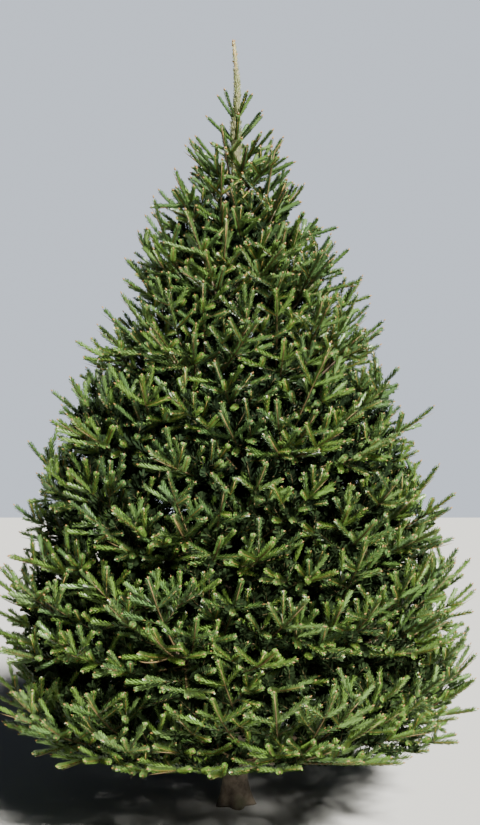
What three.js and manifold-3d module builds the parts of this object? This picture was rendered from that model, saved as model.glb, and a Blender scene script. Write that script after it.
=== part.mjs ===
// A fir grown as a Christmas tree and rooted in the ground, in millimetres with +Z up.
// The trunk runs whole from its root flare to the bud at the tip of its leading shoot.
// Yearly whorls of limbs stand round it. Each limb is a bare bough near the trunk and a
// mass of needled sprays beyond, cut to one conical outline as a sheared tree is.
import * as THREE from 'three';
import { mergeVertices } from 'three/addons/utils/BufferGeometryUtils.js';
import Module from 'manifold-3d';

const wasm = await Module();
wasm.setup();

// Outline of the tree
const TREE_HEIGHT = 2670; // tip of the leading shoot
const CROWN_RADIUS = 850; // furthest tips from the trunk
const WIDEST_HEIGHT = 650; // where the crown is that wide
const CROWN_TOP_HEIGHT = 2650; // where the sheared outline closes in on the leading shoot
const CROWN_FULLNESS = 1.3; // 1 is a straight cone, more is a fuller one
const SKIRT_DEPTH = 1000; // how fast the outline draws in below its widest height
const SKIRT_HEIGHT = 125; // the lowest sprays stay this far above the ground

// Trunk
const TRUNK_SIDES = 10;
const BUTT_RADIUS = 47; // just above the root flare
const TOP_WHORL_RADIUS = 12; // where the leading shoot begins
const LEADER_TIP_RADIUS = 6;
const FLARE_HEIGHT = 110;
const FLARE_REACH = 30; // how far the root flare stands out at the ground
const FLARE_ROOTS = 5;
const TRUNK_SWAY = 7; // how far the trunk bends off its line
const LEADER_LEAN = -7; // the leading shoot's tip, to the left

// Whorls, counted from the lowest
const LOWEST_WHORL_HEIGHT = 205;
const TOP_WHORL_HEIGHT = 2380;
const LIMBS_IN_WHORL = [5, 5, 4, 4, 4, 5, 4, 4];
const TOP_WHORL = LIMBS_IN_WHORL.length; // the ring of shoots round the leading shoot's foot
const WHORLS_WITH_BOUGHS = 5; // the lower ones, whose limbs are bare near the trunk
const WHORL_TURN = 0.64; // radians from one whorl to the next
const ROOT_ANGLE = [4, 44]; // degrees above level at the trunk, lowest and top whorl
const TIP_ANGLE = [24, 64]; // the same at the tips

// Limbs
const BARE_SHARE = 0.3; // of a limb's reach, with no needles on it
const BOUGH_SIDES = 5;
const STEM_SIDES = 8;
const THICKEST_LIMB = 14.5; // radius at the trunk of a lowest limb
const THINNEST_LIMB = 5.5; // the same in the highest whorl but one
const CLEARANCE = 0.3; // between a limb and the trunk, and between a bough and its mass

// Sprays
const SPRAY_COLUMNS = [6, 5, 5, 5, 4, 3, 3, 3]; // round each mass, in each whorl
const SPRAY_ROWS = [ // how far up the mass, in even and odd columns
  [[-1.3, 0.35], [-0.5]], // the lowest whorl
  [[-0.5, 0.6], [0.05]], // the others
];
const LONGEST_SPRAY = 330;

// The inner part of a mass, ring by ring: its share of the limb's reach, and how much of
// its sector and of its band it fills
const MASS_ROWS = [
  [BARE_SHARE, 0, 0], [0.36, 0, 0], [0.42, 0.9, 0.74], [0.58, 0.97, 0.88], [0.74, 0.93, 0.86],
];
const DIRECT_MASS_ROWS = [[0, 0, 0], [0.16, 0, 0], [0.38, 0.5, 0.5], [0.56, 0.44, 0.5]];
const VALLEY_SHARE = 0.74;
const SPACE_GAP = 4; // each mass stays this far inside its own space
const SLIVER = 0.05; // edges shorter than this close up when parts are joined
const SEED = 11;

const UP = new THREE.Vector3(0, 0, 1);
const FULL_TURN = 2 * Math.PI;

const bark = new THREE.MeshStandardMaterial({ color: 0x6a5a48, roughness: 0.9, metalness: 0 });
const needles = new THREE.MeshStandardMaterial({ color: 0x35502f, roughness: 0.6, metalness: 0 });

const mix = (from, to, share) => from + (to - from) * share;
const radians = (degrees) => degrees * Math.PI / 180;

// A number from 0 to 1 that is always the same for the same limb, item and use.
function chance(limb, item, use) {
  const wave = Math.sin(limb * 12.9898 + item * 78.233 + use * 37.719 + SEED) * 43758.5453;
  return wave - Math.floor(wave);
}

const between = (low, high, limb, item, use) => mix(low, high, chance(limb, item, use));

// How far the sheared outline stands from the trunk at a height.
function crownRadius(height) {
  if (height < WIDEST_HEIGHT) {
    const under = (WIDEST_HEIGHT - height) / SKIRT_DEPTH;
    return CROWN_RADIUS * Math.sqrt(1 - under * under);
  }
  const up = Math.min((height - WIDEST_HEIGHT) / (CROWN_TOP_HEIGHT - WIDEST_HEIGHT), 1);
  return CROWN_RADIUS * (1 - up ** CROWN_FULLNESS);
}

// One whorl: its limbs leave the trunk at a slope and bend up until they meet the outline.
function whorlAt(level) {
  const share = level / TOP_WHORL;
  const height = mix(LOWEST_WHORL_HEIGHT, TOP_WHORL_HEIGHT, share);
  const rootSlope = Math.tan(radians(mix(ROOT_ANGLE[0], ROOT_ANGLE[1], share)));
  const tipSlope = Math.tan(radians(mix(TIP_ANGLE[0], TIP_ANGLE[1], share)));
  let reach = CROWN_RADIUS;
  for (let step = 0; step < 40; step++) {
    const tipHeight = height + reach * (rootSlope + tipSlope) / 2;
    reach = Math.max(0.5 * (reach + crownRadius(tipHeight)), 40);
  }
  return { level, height, rootSlope, bend: (tipSlope - rootSlope) / (2 * reach), reach };
}

const limbHeight = (whorl, distance) =>
  whorl.height + whorl.rootSlope * distance + whorl.bend * distance * distance;

const whorls = [];
for (let level = 0; level <= TOP_WHORL + 1; level++) whorls.push(whorlAt(level));

// The trunk's centre at a height: a slow bend, then the leading shoot's lean.
function trunkCentre(height) {
  const up = height / TREE_HEIGHT;
  const led = Math.max((height - TOP_WHORL_HEIGHT) / (TREE_HEIGHT - TOP_WHORL_HEIGHT), 0);
  return new THREE.Vector3(
    TRUNK_SWAY * Math.sin(Math.PI * up) * up + LEADER_LEAN * led * led,
    -TRUNK_SWAY * Math.sin(FULL_TURN * up) * 0.6,
    height,
  );
}

function trunkRadius(height) {
  if (height > TOP_WHORL_HEIGHT) {
    const led = (height - TOP_WHORL_HEIGHT) / (TREE_HEIGHT - TOP_WHORL_HEIGHT);
    return mix(TOP_WHORL_RADIUS * 0.85, LEADER_TIP_RADIUS, led);
  }
  return mix(BUTT_RADIUS, TOP_WHORL_RADIUS, (height / TOP_WHORL_HEIGHT) ** 0.92);
}

// A closed body through rings of points. A ring of one point is a pointed end.
function loft(rings) {
  const positions = [];
  const faces = [];
  const firstOf = rings.map((ring) => {
    const first = positions.length / 3;
    ring.forEach((point) => positions.push(point.x, point.y, point.z));
    return first;
  });
  rings.slice(1).forEach((next, i) => {
    const ring = rings[i];
    const sides = Math.max(ring.length, next.length);
    for (let side = 0; side < sides; side++) {
      const after = (side + 1) % sides;
      const a = firstOf[i] + (ring.length > 1 ? side : 0);
      const b = firstOf[i] + (ring.length > 1 ? after : 0);
      const c = firstOf[i + 1] + (next.length > 1 ? after : 0);
      const d = firstOf[i + 1] + (next.length > 1 ? side : 0);
      if (ring.length > 1) faces.push(a, b, c);
      if (next.length > 1) faces.push(a, c, d);
    }
  });
  const last = rings.length - 1;
  for (let side = 1; side < rings[0].length - 1; side++) {
    faces.push(firstOf[0], firstOf[0] + side + 1, firstOf[0] + side);
  }
  for (let side = 1; side < rings[last].length - 1; side++) {
    faces.push(firstOf[last], firstOf[last] + side, firstOf[last] + side + 1);
  }
  return new THREE.BufferGeometry()
    .setAttribute('position', new THREE.Float32BufferAttribute(positions, 3))
    .setIndex(faces);
}

// A ring of points square to a direction.
function ringAt(centre, direction, radius, sides) {
  const level = direction.z > 0.999 ? new THREE.Vector3(0, 1, 0) : UP;
  const across = new THREE.Vector3().crossVectors(level, direction).normalize();
  const over = new THREE.Vector3().crossVectors(direction, across).normalize();
  return Array.from({ length: sides }, (_, side) => {
    const turn = (side + 0.5) / sides * FULL_TURN;
    return centre.clone()
      .addScaledVector(across, radius * Math.cos(turn))
      .addScaledVector(over, radius * Math.sin(turn));
  });
}

function solidOf(geometry) {
  const merged = mergeVertices(geometry, 1e-4);
  return new wasm.Manifold(new wasm.Mesh({
    numProp: 3,
    vertProperties: merged.attributes.position.array,
    triVerts: new Uint32Array(merged.index.array),
  }));
}

function geometryOf(solid) {
  const mesh = solid.getMesh();
  return new THREE.BufferGeometry()
    .setAttribute('position', new THREE.BufferAttribute(mesh.vertProperties, 3))
    .setIndex(new THREE.BufferAttribute(mesh.triVerts, 1));
}

// Joins solids and keeps the main body: loose scraps, sealed hollows and slivers go.
function fuse(solids) {
  const pieces = solids.reduce((whole, solid) => whole.add(solid)).decompose();
  return pieces.reduce((most, piece) => (piece.volume() > most.volume() ? piece : most))
    .simplify(SLIVER);
}

// The trunk, made wider all round by extra when it is used to cut its neighbours clear.
function trunkGeometry(extra = 0) {
  const heights = [0, 0.2, 0.55, 1].map((share) => share * FLARE_HEIGHT);
  for (let level = 0; level <= TOP_WHORL; level++) {
    const { height } = whorls[level];
    heights.push(height - 16, height + 14);
  }
  const leader = TREE_HEIGHT - TOP_WHORL_HEIGHT;
  [0.35, 0.7, 0.9, 0.94, 0.98, 1].forEach((s) => heights.push(TOP_WHORL_HEIGHT + s * leader));
  const budSwell = { 0.94: 1.45, 0.98: 1.5, 1: 0.55 };
  const rings = heights.map((height) => {
    const atWhorl = whorls.some((whorl) => Math.abs(whorl.height - height) < 17);
    const share = (height - TOP_WHORL_HEIGHT) / leader;
    const swell = budSwell[share.toFixed(2)] ?? budSwell[Number(share.toFixed(2))] ?? 1;
    const flare = FLARE_REACH * Math.max(1 - height / FLARE_HEIGHT, 0) ** 2;
    const centre = trunkCentre(height);
    return Array.from({ length: TRUNK_SIDES }, (_, side) => {
      const turn = side / TRUNK_SIDES * FULL_TURN;
      const root = 0.55 + 0.45 * Math.cos(FLARE_ROOTS * turn + 0.7);
      const radius = trunkRadius(height) * (atWhorl ? 1.07 : 1) * swell + flare * root + extra;
      return new THREE.Vector3(
        centre.x + radius * Math.cos(turn),
        centre.y + radius * Math.sin(turn),
        height,
      );
    });
  });
  return loft(rings);
}

// The place on a limb's centre line at a distance from the trunk's centre, seen from above.
function onLimb(limb, distance) {
  const start = trunkCentre(limb.whorl.height);
  return new THREE.Vector3(
    start.x + distance * Math.cos(limb.turn),
    start.y + distance * Math.sin(limb.turn),
    limbHeight(limb.whorl, distance),
  );
}

function limbDirection(limb, distance) {
  return onLimb(limb, distance + 1).sub(onLimb(limb, distance - 1)).normalize();
}

// A limb thins evenly from the trunk to a fifth of its radius at the tip.
function limbRadius(limb, distance) {
  return limb.radius * mix(1, 0.2, distance / limb.reach);
}

// The space that belongs to one mass: a sector of the crown between the halfway
// surfaces to the whorls above and below it.
function inSpace(limb, point) {
  const distance = Math.hypot(point.x, point.y);
  let off = Math.abs(Math.atan2(point.y, point.x) - limb.middle) % FULL_TURN;
  if (off > Math.PI) off = FULL_TURN - off;
  if (off > limb.halfSector) return false;
  if (distance * Math.sin(limb.halfSector - off) < SPACE_GAP) return false;
  const { level } = limb.whorl;
  const own = limbHeight(limb.whorl, distance);
  const above = limbHeight(whorls[level + 1], distance);
  if (point.z > (own + above) / 2 - SPACE_GAP) return false;
  if (level === 0) return point.z > SKIRT_HEIGHT;
  return point.z > (own + limbHeight(whorls[level - 1], distance)) / 2 + SPACE_GAP;
}

// Half the height of the space round a limb at a distance from the trunk.
function halfBand(limb, distance) {
  const { level } = limb.whorl;
  return (limbHeight(whorls[level + 1], distance) - limbHeight(limb.whorl, distance)) / 2;
}

// A point of a limb's space: how far round its sector and how far up its band, each
// from -1 to 1, at a distance from the trunk.
function spacePoint(limb, distance, around, up) {
  const turn = limb.middle + around * limb.halfSector;
  return new THREE.Vector3(
    distance * Math.cos(turn),
    distance * Math.sin(turn),
    limbHeight(limb.whorl, distance) + up * halfBand(limb, distance),
  );
}

// Where that line through a limb's space meets the sheared outline.
function outlinePoint(limb, around, up) {
  let distance = limb.reach;
  for (let step = 0; step < 12; step++) {
    const height = limbHeight(limb.whorl, distance) + up * halfBand(limb, distance);
    distance = Math.max((distance + crownRadius(height)) / 2, 0.4 * limb.reach);
  }
  return spacePoint(limb, distance, around, up);
}

// A spray of needled shoots, from its root to its tip: a blade cut into side shoots that
// sweep forwards, with a ridge along its top and a flat underside. Roll turns it about
// itself.
function sprayGeometry(from, to, shoots, widthShare, roll) {
  const direction = to.clone().sub(from);
  const length = direction.length();
  direction.normalize();
  const half = length * widthShare;
  const points = [new THREE.Vector3(0, 0, 0)];
  for (let shoot = 0; shoot < shoots; shoot++) {
    const back = mix(0.36, 0.78, (shoot + 0.4) / shoots);
    const tip = back + 0.34 / shoots;
    const wide = half * (1 - 0.5 * shoot / shoots);
    const neck = half * 0.2;
    const thick = half * 0.3 * (1 - 0.4 * shoot / shoots);
    points.push(
      new THREE.Vector3(length * (back - 0.5 / shoots * 0.3), 0, thick),
      new THREE.Vector3(length * tip, wide, thick * 0.4),
      new THREE.Vector3(length * back, neck, 0),
      new THREE.Vector3(length * tip, -wide, thick * 0.4),
      new THREE.Vector3(length * back, -neck, 0),
    );
  }
  points.push(new THREE.Vector3(length, 0, 0));
  const end = points.length - 1;
  const faces = [];
  for (let shoot = 0; shoot < shoots; shoot++) {
    const [ridge, leftTip, left, rightTip, right] = [1, 2, 3, 4, 5].map((n) => 5 * shoot + n);
    const wasLeft = Math.max(left - 5, 0);
    const wasRight = Math.max(right - 5, 0);
    const ahead = shoot === shoots - 1 ? end : ridge + 5;
    faces.push(ridge, leftTip, wasLeft, ridge, left, leftTip, ridge, ahead, left);
    faces.push(ridge, wasRight, rightTip, ridge, rightTip, right, ridge, right, ahead);
    faces.push(wasLeft, leftTip, left, wasRight, right, rightTip, wasLeft, left, right);
    if (wasLeft !== wasRight) faces.push(wasLeft, right, wasRight);
    if (ahead === end) faces.push(left, end, right);
  }
  const across = new THREE.Vector3().crossVectors(UP, direction).normalize();
  const over = new THREE.Vector3().crossVectors(direction, across).normalize();
  const placed = new THREE.Matrix4().makeBasis(direction, across, over).setPosition(from)
    .multiply(new THREE.Matrix4().makeRotationX(roll));
  return new THREE.BufferGeometry().setFromPoints(points).setIndex(faces).applyMatrix4(placed);
}

// True where every point of a geometry keeps to a limb's own space.
function keepsIn(limb, geometry) {
  const position = geometry.getAttribute('position');
  const point = new THREE.Vector3();
  for (let i = 0; i < position.count; i++) {
    if (!inSpace(limb, point.fromBufferAttribute(position, i))) return false;
  }
  return true;
}

// A spray that is shortened until it keeps to the limb's space, or left out.
function fittedSpray(limb, from, to, shoots, widthShare, roll) {
  for (let share = 1; share > 0.5; share -= 0.1) {
    const tip = from.clone().lerp(to, share);
    const geometry = sprayGeometry(from, tip, shoots, widthShare, roll);
    if (keepsIn(limb, geometry)) return [solidOf(geometry)];
  }
  return [];
}

// The stem of a mass, swelling into the crowded inner twigs and needles that the sprays
// stand out of. Every other corner of its rings is a shoot drawn out and up.
function stemGeometry(limb) {
  const direct = limb.bareTo === 0;
  const sides = direct ? 8 : 12;
  const rows = direct ? DIRECT_MASS_ROWS : MASS_ROWS;
  const rings = rows.map(([share, wide, thick], row) => {
    const distance = share * limb.reach;
    const centre = onLimb(limb, distance);
    const direction = limbDirection(limb, distance);
    if (row === 0 && !direct) centre.addScaledVector(direction, CLEARANCE);
    if (wide === 0) return ringAt(centre, direction, limbRadius(limb, distance), sides);
    return Array.from({ length: sides }, (_, side) => {
      const turn = (side + 0.5) / sides * FULL_TURN;
      const drawn = (side + row) % 2 === 0;
      const item = 20 * row + side;
      const size = drawn ? between(0.9, 1, limb.number, item, 15)
        : mix(VALLEY_SHARE, 0.98, Math.abs(Math.cos(turn)) ** 2);
      const squarer = (value) => Math.sign(value) * Math.abs(value) ** 0.45 * size;
      const out = drawn ? between(0.08, 0.15, limb.number, item, 16) * limb.reach : 0;
      const deeper = limb.whorl.level === 0 && Math.sin(turn) < 0 ? 1.4 : 1;
      const up = squarer(Math.sin(turn)) * thick * deeper + (drawn ? 0.06 : 0);
      return spacePoint(limb, distance + out, squarer(Math.cos(turn)) * wide, up);
    });
  });
  return loft([...rings, [onLimb(limb, limb.reach * (direct ? 0.75 : 0.85))]]);
}

// The foliage of one limb: the stem that carries it on, and sprays in staggered rows
// from it out to the sheared outline, with the leading spray at the tip.
function massSolid(limb) {
  const { number, reach } = limb;
  const { level } = limb.whorl;
  const columns = SPRAY_COLUMNS[level];
  const widthShare = mix(0.25, 0.15, level / TOP_WHORL);
  const solids = [solidOf(stemGeometry(limb))];
  for (let column = 0; column < columns; column++) {
    const rows = SPRAY_ROWS[level === 0 ? 0 : 1][column % 2];
    rows.forEach((row, i) => {
      const item = 4 * column + i;
      const around = mix(-0.8, 0.8, column / (columns - 1));
      const up = row + between(-0.12, 0.12, number, item, 1);
      const target = outlinePoint(limb, around + between(-0.05, 0.05, number, item, 2), up);
      const far = Math.hypot(target.x, target.y);
      const aside = Math.abs(far * Math.sin(around * limb.halfSector));
      const rootAt = far * Math.cos(around * limb.halfSector) - 0.26 * reach
        - aside / Math.tan(radians(between(46, 58, number, item, 3)));
      const nearest = Math.max(limb.bareTo * 1.3, 0.24 * reach) + 2 * item;
      const stem = onLimb(limb, Math.max(rootAt, nearest));
      target.sub(stem).multiplyScalar(between(0.96, 1.1, number, item, 4)).add(stem);
      const run = target.distanceTo(stem);
      const from = target.clone().lerp(stem, Math.min(1, LONGEST_SPRAY / run));
      const roll = -Math.sign(around) * 0.2 + between(-0.35, 0.35, number, item, 5);
      solids.push(...fittedSpray(limb, from, target, level < 6 ? 2 : 1, widthShare, roll));
    });
  }
  const tip = onLimb(limb, reach * between(1, 1.05, number, 0, 6));
  const root = onLimb(limb, reach * 0.62).addScaledVector(UP, -limbRadius(limb, reach * 0.62) * 0.6);
  solids.push(...fittedSpray(limb, root, tip, 3, widthShare, between(-0.3, 0.3, number, 0, 7)));
  return fuse(solids);
}

// The top of the tree: shoots that stand round the foot of the leading shoot, rooted in
// a thin collar of crowded bud scales and needles on the trunk.
function topRing() {
  const low = TOP_WHORL_HEIGHT - 92;
  const collar = [low, TOP_WHORL_HEIGHT + 12].map((height) => (
    ringAt(trunkCentre(height), UP, trunkRadius(height) + 5, TRUNK_SIDES)
  ));
  const rows = [
    { height: TOP_WHORL_HEIGHT, shoots: 5, rise: [1.5, 2.2], length: [105, 122], turn: 0.4 },
    { height: low + 14, shoots: 5, rise: [0.7, 1.15], length: [120, 150], turn: 1 },
  ];
  const solids = rows.flatMap(({ height, shoots, rise, length, turn }, row) => (
    Array.from({ length: shoots }, (_, shoot) => {
      const around = turn + shoot / shoots * FULL_TURN + between(-0.15, 0.15, row, shoot, 10);
      const way = new THREE.Vector3(Math.cos(around), Math.sin(around), 0);
      way.z = between(rise[0], rise[1], row, shoot, 11);
      way.normalize().multiplyScalar(between(length[0], length[1], row, shoot, 12));
      const from = trunkCentre(height);
      return solidOf(sprayGeometry(from, way.add(from), 1, 0.16, 0));
    })
  ));
  return fuse([solidOf(loft(collar)), ...solids]);
}

const tree = new THREE.Group();
tree.name = 'fir_christmas_tree';

function place(name, geometry, material) {
  const mesh = new THREE.Mesh(geometry, material);
  mesh.name = name;
  tree.add(mesh);
}

place('trunk', trunkGeometry(), bark);
const trunkRoom = solidOf(trunkGeometry(CLEARANCE));

let limbNumber = 0;
LIMBS_IN_WHORL.forEach((limbs, level) => {
  for (let i = 0; i < limbs; i++) {
    limbNumber++;
    const whorl = whorls[level];
    const middle = (level * WHORL_TURN + i / limbs * FULL_TURN) % FULL_TURN;
    const limb = {
      whorl,
      number: limbNumber,
      middle,
      turn: middle + between(-0.07, 0.07, limbNumber, 0, 13),
      halfSector: Math.PI / limbs,
      reach: whorl.reach * between(0.95, 1, limbNumber, 0, 14),
      radius: mix(THICKEST_LIMB, THINNEST_LIMB, level / (TOP_WHORL - 1)),
    };
    const name = `whorl_${level + 1}_${String.fromCharCode(97 + i)}`;
    const hasBough = level < WHORLS_WITH_BOUGHS;
    limb.bareTo = hasBough ? limb.reach * BARE_SHARE : 0;
    if (hasBough) {
      const rings = [0, 0.5, 1].map((share, ring) => {
        const distance = share * limb.bareTo;
        const radius = limbRadius(limb, distance) * (ring === 0 ? 1.3 : 1);
        return ringAt(onLimb(limb, distance), limbDirection(limb, distance), radius, BOUGH_SIDES);
      });
      const bough = fuse([solidOf(loft(rings)).subtract(trunkRoom)]);
      place(`bough_${name}`, geometryOf(bough), bark);
    }
    const mass = massSolid(limb);
    place(`foliage_${name}`, geometryOf(hasBough ? mass : fuse([mass.subtract(trunkRoom)])), needles);
  }
});
place('foliage_top_ring', geometryOf(fuse([topRing().subtract(trunkRoom)])), needles);

export default tree;
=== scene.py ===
import math

import bmesh
import bpy
import numpy as np
from mathutils import Matrix, Vector, noise
from mathutils.kdtree import KDTree


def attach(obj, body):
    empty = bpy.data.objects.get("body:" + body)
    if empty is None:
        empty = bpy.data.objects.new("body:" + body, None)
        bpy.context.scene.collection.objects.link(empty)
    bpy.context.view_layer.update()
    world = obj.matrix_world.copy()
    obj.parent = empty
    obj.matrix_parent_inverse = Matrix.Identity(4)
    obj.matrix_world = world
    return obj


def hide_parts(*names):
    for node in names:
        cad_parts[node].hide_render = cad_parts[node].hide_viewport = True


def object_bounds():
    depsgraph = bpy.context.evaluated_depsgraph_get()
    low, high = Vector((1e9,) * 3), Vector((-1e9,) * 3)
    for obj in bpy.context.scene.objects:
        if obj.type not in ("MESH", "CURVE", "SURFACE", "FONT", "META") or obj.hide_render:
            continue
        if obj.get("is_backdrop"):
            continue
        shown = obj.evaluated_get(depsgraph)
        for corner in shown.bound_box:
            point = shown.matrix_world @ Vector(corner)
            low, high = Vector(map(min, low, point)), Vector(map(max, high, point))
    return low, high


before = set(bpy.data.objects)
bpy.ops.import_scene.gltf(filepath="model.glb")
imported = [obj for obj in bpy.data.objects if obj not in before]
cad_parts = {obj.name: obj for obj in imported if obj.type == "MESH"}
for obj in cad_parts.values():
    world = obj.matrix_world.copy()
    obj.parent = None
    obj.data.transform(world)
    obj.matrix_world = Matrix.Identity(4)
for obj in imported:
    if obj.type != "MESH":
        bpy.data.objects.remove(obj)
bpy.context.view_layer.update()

# The trunk: one whole stem of a young fir, from its root flare to the foot of the
# leading shoot. Its bark is thin, grey brown and blistered with resin, with a ring
# where each year's limbs leave it and cracks only near the ground.
FULL_TURN = 2 * math.pi
TREE_HEIGHT = 2.67
LOWEST_WHORL_HEIGHT = 0.205
TOP_WHORL_HEIGHT = 2.38
TOP_WHORL = 8
BUTT_RADIUS = 0.047
TOP_WHORL_RADIUS = 0.012
FLARE_HEIGHT = 0.11
FLARE_REACH = 0.03
TRUNK_SWAY = 0.007
SWAY_IN_DEPTH = 0.6
TRUNK_TAPER = 0.92
ROOT_LOBES = 5
LEADER_LEAN = -0.007
LEADER_BOW = 0.007


def mix(start, end, share):
    return start + (end - start) * share


def facing(turn, rise=0):
    return Vector((math.cos(turn), math.sin(turn), rise))


def share_of_leader(height):
    """How far up the leading shoot a height is: 0 at its foot or below it, 1 at its tip."""
    return max((height - TOP_WHORL_HEIGHT) / (TREE_HEIGHT - TOP_WHORL_HEIGHT), 0)


def trunk_centre(height):
    up = height / TREE_HEIGHT
    leading = share_of_leader(height)
    return Vector((
        TRUNK_SWAY * math.sin(math.pi * up) * up + LEADER_LEAN * leading * leading
        + LEADER_BOW * math.sin(math.pi * leading ** 0.7),
        -TRUNK_SWAY * math.sin(FULL_TURN * up) * SWAY_IN_DEPTH,
        height,
    ))


def trunk_radius(height):
    return mix(BUTT_RADIUS, TOP_WHORL_RADIUS, min(height / TOP_WHORL_HEIGHT, 1) ** TRUNK_TAPER)


def whorl_height(level):
    return mix(LOWEST_WHORL_HEIGHT, TOP_WHORL_HEIGHT, level / TOP_WHORL)


# The bark's marks: how finely each repeats, where it begins, and how far it stands out.
CRACKED_HEIGHT = 0.5
CRACKS_ROUND = 3.1
CRACKS_UP = 11
CRACK_WIDTH = 0.25
CRACK_DEPTH = 0.0026
BLISTER_SCALE = 95
BLISTER_START = 0.28
BLISTER_RISE = 0.0022
GRAIN_SCALE = 210
GRAIN_RISE = 0.0006
RING_LENGTH = 0.017
RING_SWELL = 0.07


def bark_relief(place, turn, height):
    """How far the bark stands out: cracks near the ground, and blisters and rings all along."""
    across = facing(turn)
    crack = noise.noise(Vector((
        across.x * CRACKS_ROUND, across.y * CRACKS_ROUND, height * CRACKS_UP
    )))
    low = max(1 - height / CRACKED_HEIGHT, 0)
    relief = -CRACK_DEPTH * low * max(CRACK_WIDTH - abs(crack), 0) / CRACK_WIDTH
    blister = noise.noise(place * BLISTER_SCALE)
    relief += BLISTER_RISE * max(blister - BLISTER_START, 0)
    relief += GRAIN_RISE * noise.noise(place * GRAIN_SCALE)
    for level in range(TOP_WHORL + 1):
        gap = (height - whorl_height(level)) / RING_LENGTH
        relief += RING_SWELL * trunk_radius(height) * math.exp(-gap * gap)
    return relief


def add_stem(mesh, sides, rings, place_at):
    """A capped cylinder cut into rings, each of its points then moved to its place."""
    before = len(mesh.verts)
    bmesh.ops.create_cone(
        mesh, cap_ends=True, segments=sides, radius1=1, radius2=1, depth=1
    )
    mesh.verts.ensure_lookup_table()
    mesh.verts.index_update()
    upright = [
        edge for edge in mesh.edges
        if min(vert.index for vert in edge.verts) >= before
        and abs(edge.verts[0].co.z - edge.verts[1].co.z) > 0.5
    ]
    bmesh.ops.subdivide_edges(mesh, edges=upright, cuts=rings - 1)
    mesh.verts.ensure_lookup_table()
    for vert in mesh.verts[before:]:
        turn = math.atan2(vert.co.y, vert.co.x)
        vert.co = place_at(vert.co.z + 0.5, turn)


def add_piece(name, data, material):
    data.materials.append(material)
    piece = bpy.data.objects.new(name, data)
    bpy.context.scene.collection.objects.link(piece)
    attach(piece, "root")
    return piece


def stem_piece(name, mesh, material):
    data = bpy.data.meshes.new(name)
    mesh.to_mesh(data)
    mesh.free()
    data.shade_smooth()
    return add_piece(name, data, material)


def bark_finish(name, pale, dark, moss, scale):
    """Mottled bark: two browns in soft patches, fine cross lines and a little green."""
    made = bpy.data.materials.new(name)
    made.use_nodes = True
    nodes, links = made.node_tree.nodes, made.node_tree.links
    shader = nodes["Principled BSDF"]
    place = nodes.new("ShaderNodeTexCoord").outputs["Object"]

    def add_noise(where, size, detail):
        texture = nodes.new("ShaderNodeTexNoise")
        texture.inputs["Scale"].default_value = size * scale
        texture.inputs["Detail"].default_value = detail
        links.new(where, texture.inputs["Vector"])
        return texture

    def add_bands(texture, positions, colours=((0, 0, 0), (1, 1, 1))):
        bands = nodes.new("ShaderNodeValToRGB")
        for stop, position, colour in zip(bands.color_ramp.elements, positions, colours):
            stop.position = position
            stop.color = (*colour, 1)
        links.new(texture.outputs["Fac"], bands.inputs["Fac"])
        return bands.outputs["Color"]

    patches = add_noise(place, 22, 6)
    patches.inputs["Roughness"].default_value = 0.65
    browns = add_bands(patches, (0.36, 0.62), (dark, pale))
    growth = add_bands(add_noise(place, 9, 3), (0.55, 0.75))
    green = nodes.new("ShaderNodeMix")
    green.data_type = "RGBA"
    green.inputs["B"].default_value = (*moss, 1)
    links.new(growth, green.inputs["Factor"])
    links.new(browns, green.inputs["A"])
    links.new(green.outputs["Result"], shader.inputs["Base Color"])
    squash = nodes.new("ShaderNodeMapping")
    squash.inputs["Scale"].default_value = (1, 1, 5)
    links.new(place, squash.inputs["Vector"])
    lines = add_noise(squash.outputs["Vector"], 60, 5)
    bump = nodes.new("ShaderNodeBump")
    bump.inputs["Strength"].default_value = 0.6
    bump.inputs["Distance"].default_value = 0.0015
    links.new(lines.outputs["Fac"], bump.inputs["Height"])
    links.new(bump.outputs["Normal"], shader.inputs["Normal"])
    rough = nodes.new("ShaderNodeMapRange")
    rough.inputs["To Min"].default_value = 0.7
    rough.inputs["To Max"].default_value = 0.95
    links.new(patches.outputs["Fac"], rough.inputs["Value"])
    links.new(rough.outputs["Result"], shader.inputs["Roughness"])
    return made


TRUNK_SIDES = 36
TRUNK_RINGS = 150
TRUNK_OVERLAP = 0.004
TRUNK_PALE = (0.21, 0.17, 0.125)
TRUNK_DARK = (0.085, 0.064, 0.046)
TRUNK_MOSS = (0.1, 0.12, 0.06)


def trunk_place(share, turn):
    height = share ** 1.15 * (TOP_WHORL_HEIGHT + TRUNK_OVERLAP)
    centre = trunk_centre(height)
    out = facing(turn)
    flare = FLARE_REACH * max(1 - height / FLARE_HEIGHT, 0) ** 2
    lobe = 0.55 + 0.45 * math.cos(ROOT_LOBES * turn + 0.7)
    radius = trunk_radius(height) + flare * lobe
    radius += bark_relief(centre + out * radius, turn, height)
    return centre + out * radius


trunk_bark = bark_finish("trunk_bark", TRUNK_PALE, TRUNK_DARK, TRUNK_MOSS, 1)
trunk_mesh = bmesh.new()
add_stem(trunk_mesh, TRUNK_SIDES, TRUNK_RINGS, trunk_place)
trunk = stem_piece("trunk_wood", trunk_mesh, trunk_bark)
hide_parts("trunk")

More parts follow.
